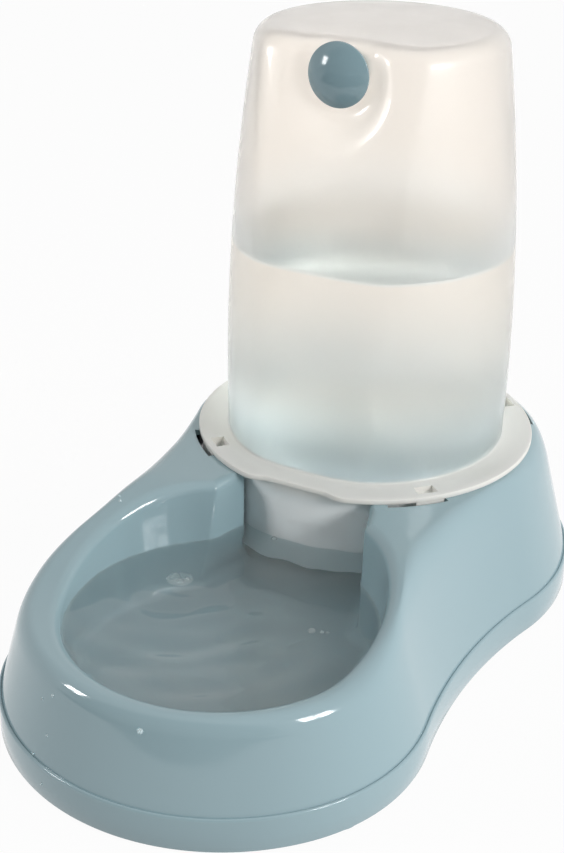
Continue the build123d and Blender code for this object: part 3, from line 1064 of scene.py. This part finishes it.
def calculate(tree, operation, first, second):
    """Result of an operation on two numbers."""
    return add_node(tree, "ShaderNodeMath", {0: first, 1: second}, operation=operation).outputs[0]


def mix_numbers(tree, share, low, high):
    return add_node(tree, "ShaderNodeMix", {0: share, 2: low, 3: high}).outputs[0]


def blend(tree, share, low, high):
    """Mixes two colours by a share from 0 to 1."""
    return add_node(tree, "ShaderNodeMix", {0: share, 6: low, 7: high}, data_type="RGBA").outputs[2]


def mix_shaders(tree, share, first, second):
    return add_node(tree, "ShaderNodeMixShader", {0: share, 1: first, 2: second}).outputs[0]


def bumps(tree, scale, height):
    """Normal of a softly uneven surface, with a scale in features per metre and a height in metres."""
    inputs = {"Strength": 1.0, "Distance": height, "Height": noise(tree, scale, 2)}
    return add_node(tree, "ShaderNodeBump", inputs).outputs["Normal"]


def height_in_piece(tree):
    place = add_node(tree, "ShaderNodeTexCoord")
    return add_node(tree, "ShaderNodeSeparateXYZ", {0: place.outputs["Object"]}).outputs["Z"]


def climb(tree, z, heights_mm, low=0, high=1):
    """Goes from one value to another between two heights in millimetres."""
    return ramp(tree, z, heights_mm[0] * MM, heights_mm[1] * MM, low, high)


def srgb(red, green, blue):
    """Linear colour from 0 to 255 screen values."""
    linear = []
    for value in (red, green, blue):
        v = value / 255
        linear.append(v / 12.92 if v <= 0.04045 else ((v + 0.055) / 1.055) ** 2.4)
    return tuple(linear)


def main_shader(tree, inputs):
    return add_node(tree, "ShaderNodeBsdfPrincipled", inputs).outputs["BSDF"]


def output_of(tree, shader):
    add_node(tree, "ShaderNodeOutputMaterial", {"Surface": shader})


def lets_lamps_through(tree, shader, colour):
    """Mixes in a see-through shader for rays from lamps, so that they reach what is behind."""
    clear = add_node(tree, "ShaderNodeBsdfTransparent", {"Color": colour})
    path = add_node(tree, "ShaderNodeLightPath")
    return mix_shaders(tree, path.outputs["Is Shadow Ray"], shader, clear.outputs[0])


def gloss_plastic(name, first, second, roughness):
    """Moulded glossy plastic: slight cloudiness in its colour, uneven gloss and a faint waviness."""
    material, tree = new_material(name)
    inputs = {
        "Base Color": blend(tree, noise(tree, 14, 3), first, second),
        "Roughness": spread(tree, noise(tree, 45, 4), roughness * 0.8, roughness * 1.3),
        "Normal": bumps(tree, 110, 0.01 * MM),
        "IOR": 1.5,
    }
    output_of(tree, main_shader(tree, inputs))
    return material


# Heights between which the tank's plastic changes: from the drum's painted bluish tint to the flange's,
# from dense to thin, and from the wall's painted bluish foot to the cream above. Both bluish tints are
# painted light that stands in for the blue light thrown up from the base
FLANGE_TINT = (SEAT_Z - 5.4, SEAT_Z + 0.6)
THIN_WALL = (FLANGE_TOP_Z - 0.4, FLANGE_TOP_Z + 1.2)
PAINTED_BLUE_FOOT = (FLANGE_TOP_Z + 4.2, FLANGE_TOP_Z + 52.2)

# Painted band on the wall, which stands in for the water's surface seen through it: it starts at the
# water line and fades out above it
PAINTED_BAND_START = (TANK_WATER_Z - 0.5, TANK_WATER_Z + 0.5)
PAINTED_BAND_FADE = (TANK_WATER_Z, TANK_WATER_Z + 24)


def milky_plastic(name, dense_transmission, thin_transmission, roughness):
    """Translucent milky plastic, denser in the thick flange and drum than in the wall above them, with
    painted bluish light on the drum and the wall's foot and a painted band above the water line.
    """
    material, tree = new_material(name)
    z = height_in_piece(tree)
    cream = blend(tree, noise(tree, 16, 3), srgb(255, 251, 247), srgb(253, 249, 244))
    # painted band above the water line, standing in for the water's surface seen through the wall
    painted_water_band = calculate(tree, "MULTIPLY", climb(tree, z, PAINTED_BAND_FADE, 1, 0), climb(tree, z, PAINTED_BAND_START))
    cream_with_painted_band = blend(tree, painted_water_band, cream, srgb(249, 252, 252))
    # painted bluish foot of the wall, standing in for blue light thrown up from the base
    wall = blend(tree, climb(tree, z, PAINTED_BLUE_FOOT), srgb(209, 221, 226), cream_with_painted_band)
    # painted bluish light on the drum, from the blue base round it, fading up to the flange's greyer cream
    dense = blend(tree, climb(tree, z, FLANGE_TINT), srgb(252, 255, 255), srgb(242, 240, 235))
    thin = climb(tree, z, THIN_WALL)
    inputs = {
        "Base Color": blend(tree, thin, dense, wall),
        "Transmission Weight": ramp(tree, thin, 0, 1, dense_transmission, thin_transmission),
        "Roughness": spread(tree, noise(tree, 60, 3), roughness * 0.9, roughness * 1.15),
        "Normal": bumps(tree, 90, 0.02 * MM),
        "IOR": 1.3,
        "Coat Weight": 0.6,
        "Coat Roughness": 0.06,
    }
    passed = blend(tree, thin, (0.3, 0.32, 0.32), (0.86, 0.85, 0.82))
    output_of(tree, lets_lamps_through(tree, main_shader(tree, inputs), passed))
    return material


def water_material(name, colour, cloud, passed, bump_scale, bump_height, surface_z=0, painted_line_tint=None):
    """Clear or cloudy water, with a painted tint just under its surface, if one is given, that stands in
    for the look of the water line through the tank's wall.
    """
    material, tree = new_material(name)
    tone = blend(tree, noise(tree, 10, 1), colour, tuple(part * 0.97 for part in colour))
    # share of the painted tint that marks the water line
    painted_line_share = climb(tree, height_in_piece(tree), (surface_z - 0.6, surface_z - 0.1))
    inputs = {
        "Base Color": blend(tree, painted_line_share, tone, painted_line_tint or colour),
        "Transmission Weight": 1 - cloud,
        "Roughness": spread(tree, noise(tree, 30, 2), 0.02, 0.06),
        "Normal": bumps(tree, bump_scale, bump_height),
        "IOR": 1.333,
    }
    output_of(tree, lets_lamps_through(tree, main_shader(tree, inputs), passed))
    return material


def rubber(name):
    """Matt dark rubber with a fine grain."""
    material, tree = new_material(name)
    inputs = {
        "Base Color": blend(tree, noise(tree, 300, 3), srgb(70, 64, 60), srgb(92, 84, 78)),
        "Roughness": spread(tree, noise(tree, 500, 3), 0.55, 0.8),
        "Normal": bumps(tree, 1500, 0.04 * MM),
    }
    output_of(tree, main_shader(tree, inputs))
    return material


def matt(tree, first, second):
    """Matt surface in greys between two levels from 0 to 1."""
    tone = blend(tree, noise(tree, 3, 2), (first,) * 3, (second,) * 3)
    return add_node(tree, "ShaderNodeBsdfDiffuse", {"Color": tone}).outputs[0]


def paint(piece, material):
    piece.data.materials.clear()
    piece.data.materials.append(material)


# Scene

def rays_that_see(tree, *kinds):
    """1 for rays of the given kinds on their way to the eye, and 0 for those that light a surface."""
    path = add_node(tree, "ShaderNodeLightPath")
    seen = path.outputs[kinds[0]]
    for kind in kinds[1:]:
        seen = calculate(tree, "MAXIMUM", seen, path.outputs[kind])
    is_direct = calculate(tree, "LESS_THAN", path.outputs["Diffuse Depth"], 0.5)
    return calculate(tree, "MULTIPLY", seen, is_direct)


def add_card(name, corners):
    """Flat piece of the stage and the empty node tree of its material."""
    shape = Shape()
    shape.cap(shape.ring(corners))
    card = make_piece(name, shape)
    material, tree = new_material(name)
    paint(card, material)
    return card, tree


def add_floor():
    """Pale floor that the camera sees nearly white, but with the object's shadow."""
    half = FLOOR_HALF
    corners = [(-half, -half, 0), (half, -half, 0), (half, half, 0), (-half, half, 0)]
    tree = add_card("floor", corners)[1]
    white = add_node(tree, "ShaderNodeEmission", {"Color": (1, 1, 1)})
    seen = rays_that_see(tree, "Is Camera Ray", "Is Transmission Ray", "Is Glossy Ray")
    white_share = calculate(tree, "MULTIPLY", seen, 0.96)
    output_of(tree, mix_shaders(tree, white_share, matt(tree, 0.62, 0.64), white.outputs[0]))


def add_dark_card():
    """Dark card on the floor, in front of the object, that only reflections show."""
    corners = [(-500, -340, 1), (500, -340, 1), (2500, -3000, 1), (-2500, -3000, 1)]
    card, tree = add_card("dark_card", corners)
    output_of(tree, matt(tree, 0.05, 0.08))
    card.visible_camera = False
    card.visible_diffuse = False
    card.visible_transmission = False
    card.visible_shadow = False


def facing(azimuth, elevation):
    """Direction from the object, at an azimuth from the front towards +X, in degrees."""
    turned = radians(azimuth)
    raised = radians(elevation)
    return Vector((sin(turned) * cos(raised), -cos(turned) * cos(raised), sin(raised)))


def view_axes(azimuth, elevation):
    """Right, up and back, for an eye or a lamp that looks at the object from a direction in degrees."""
    back = facing(azimuth, elevation)
    right = Vector((cos(radians(azimuth)), sin(radians(azimuth)), 0))
    return right, back.cross(right), back


def put_in_scene(name, data, place, axes):
    """Lamp or camera at a place in millimetres, turned to its right, up and back axes."""
    thing = bpy.data.objects.new(name, data)
    thing.matrix_world = Matrix.Translation(place * MM) @ Matrix(axes).transposed().to_4x4()
    bpy.context.scene.collection.objects.link(thing)
    return thing


def lobe(tree, direction, aim, wide, narrow):
    """0 beyond a wide angle from an aim direction and 1 within a narrow one, both in degrees."""
    dot = add_node(tree, "ShaderNodeVectorMath", {0: direction, 1: aim}, operation="DOT_PRODUCT")
    return ramp(tree, dot.outputs["Value"], cos(radians(wide)), cos(radians(narrow)))


def light_world():
    """Pale room with a lighter ceiling, darker straight ahead, that the camera sees as plain white."""
    world = bpy.data.worlds.new("room")
    bpy.context.scene.world = world
    world.use_nodes = True
    tree = world.node_tree
    tree.nodes.clear()
    direction = add_node(tree, "ShaderNodeTexCoord").outputs["Generated"]
    ceiling = lobe(tree, direction, Vector((0, 0, 1)), wide=75, narrow=35)
    level = ramp(tree, ceiling, 0, 1, WALLS_LEVEL, CEILING_LEVEL)
    ahead = lobe(tree, direction, facing(0, 0), wide=65, narrow=45)
    shade = ramp(tree, ahead, 0, 1, 1, DARK_SHARE)
    side = lobe(tree, direction, facing(120, 12), wide=65, narrow=15)
    room = calculate(tree, "MULTIPLY", level, shade)
    light = calculate(tree, "ADD", room, calculate(tree, "MULTIPLY", side, SIDE_LEVEL))
    reflected = mix_numbers(tree, rays_that_see(tree, "Is Glossy Ray"), light, shade)
    seen = rays_that_see(tree, "Is Camera Ray", "Is Transmission Ray")
    strength = mix_numbers(tree, seen, reflected, 1)
    background = add_node(tree, "ShaderNodeBackground", {"Color": (1, 1, 1), "Strength": strength})
    add_node(tree, "ShaderNodeOutputWorld", {"Surface": background.outputs[0]})


def add_window(name, azimuth, elevation, wide, high, radiance):
    """Bright window of two by two panes, its direction and size in degrees as seen from the object."""
    axes = view_axes(azimuth, elevation)
    right, up, back = axes
    width = 2 * WINDOW_DISTANCE * tan(radians(wide / 2))
    height = 2 * WINDOW_DISTANCE * tan(radians(high / 2))
    middle = LIGHT_TARGET + back * WINDOW_DISTANCE
    for column in (-PANE_OFFSET, PANE_OFFSET):
        for row in (-PANE_OFFSET, PANE_OFFSET):
            data = bpy.data.lights.new(name, "AREA")
            data.shape = "RECTANGLE"
            data.size = width * PANE_SHARE * MM
            data.size_y = height * PANE_SHARE * MM
            data.energy = radiance * pi * data.size * data.size_y
            put_in_scene(name, data, middle + right * column * width + up * row * height, axes)


def add_camera():
    """Camera at the photograph's viewing angle."""
    target = Vector((0, -21.77, 103.48))
    distance = 605.19
    right, up, back = view_axes(azimuth=26.95, elevation=26.58)
    roll = radians(1.04)
    rolled = (right * cos(roll) + up * sin(roll), up * cos(roll) - right * sin(roll), back)
    data = bpy.data.cameras.new("camera")
    data.sensor_width = 36
    data.lens = 64.96
    bpy.context.scene.camera = put_in_scene("camera", data, target + back * distance, rolled)


def add_pieces():
    """The moulded pieces and the water, each on the body that it moves with."""
    base_blue = gloss_plastic("base_blue", srgb(153, 177, 184), srgb(149, 174, 181), roughness=0.08)
    plug_blue = gloss_plastic("plug_blue", srgb(134, 160, 168), srgb(130, 156, 164), roughness=0.14)
    tank_milk = milky_plastic("tank_milk", 0.12, 0.9, roughness=0.37)
    pale = (0.92, 0.99, 0.99)
    clear = (0.99, 0.995, 0.99)
    bowl_water = water_material(
        "bowl_water", pale, cloud=0.1, passed=(0.15, 0.16, 0.16), bump_scale=40, bump_height=0.3 * MM,
        surface_z=WATER_Z)
    # the tank water's painted bluish tint at its surface stands in for the water line seen through the
    # wall
    tank_water = water_material(
        "tank_water", clear, cloud=0.0, passed=(0.93, 0.94, 0.93), bump_scale=30, bump_height=0.1 * MM,
        surface_z=TANK_WATER_Z, painted_line_tint=(0.95, 0.98, 0.99))
    drop_water = water_material(
        "drop_water", pale, cloud=0.35, passed=(0.8, 0.8, 0.8), bump_scale=200, bump_height=0.05 * MM)
    bubble_film = water_material(
        "bubble_film", clear, cloud=0.0, passed=(0.9, 0.9, 0.9), bump_scale=200, bump_height=0.05 * MM)

    pieces = (
        (build_base(), base_blue, "base", "base", "base_plastic"),
        (build_tank(), tank_milk, "tank", "tank_shell", "tank_plastic"),
        (build_plug(), plug_blue, "plug", "fill_plug", "plug_plastic"),
        (build_bowl_water(), bowl_water, "base", None, None),
        (build_bubbles(), bubble_film, "base", None, None),
        (build_splashes(), drop_water, "base", None, None),
        (build_tank_water(), tank_water, "tank", None, None),
    )
    for piece, material, body, node, slot in pieces:
        paint(piece, material)
        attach(piece, body)
        if node:
            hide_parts(node)


def paint_kept_nodes():
    """Materials for the nodes that stay as they came."""
    dark_rubber = rubber("dark_rubber")
    # the plate sits at the drum's height, so it takes the drum's painted bluish tint
    paint(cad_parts["tank_floor"], milky_plastic("plate_milk", 0.6, 0.6, roughness=0.3))
    for name in ("plug_seal", *FOOT_NODES):
        paint(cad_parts[name], dark_rubber)


def main():
    add_pieces()
    paint_kept_nodes()
    add_floor()
    light_world()
    add_dark_card()
    add_window("right_window", azimuth=76, elevation=24, wide=18, high=13, radiance=30)
    add_window("left_window", azimuth=-52, elevation=20, wide=11, high=14, radiance=26)
    add_camera()
    bpy.context.scene.view_settings.view_transform = "Standard"


main()
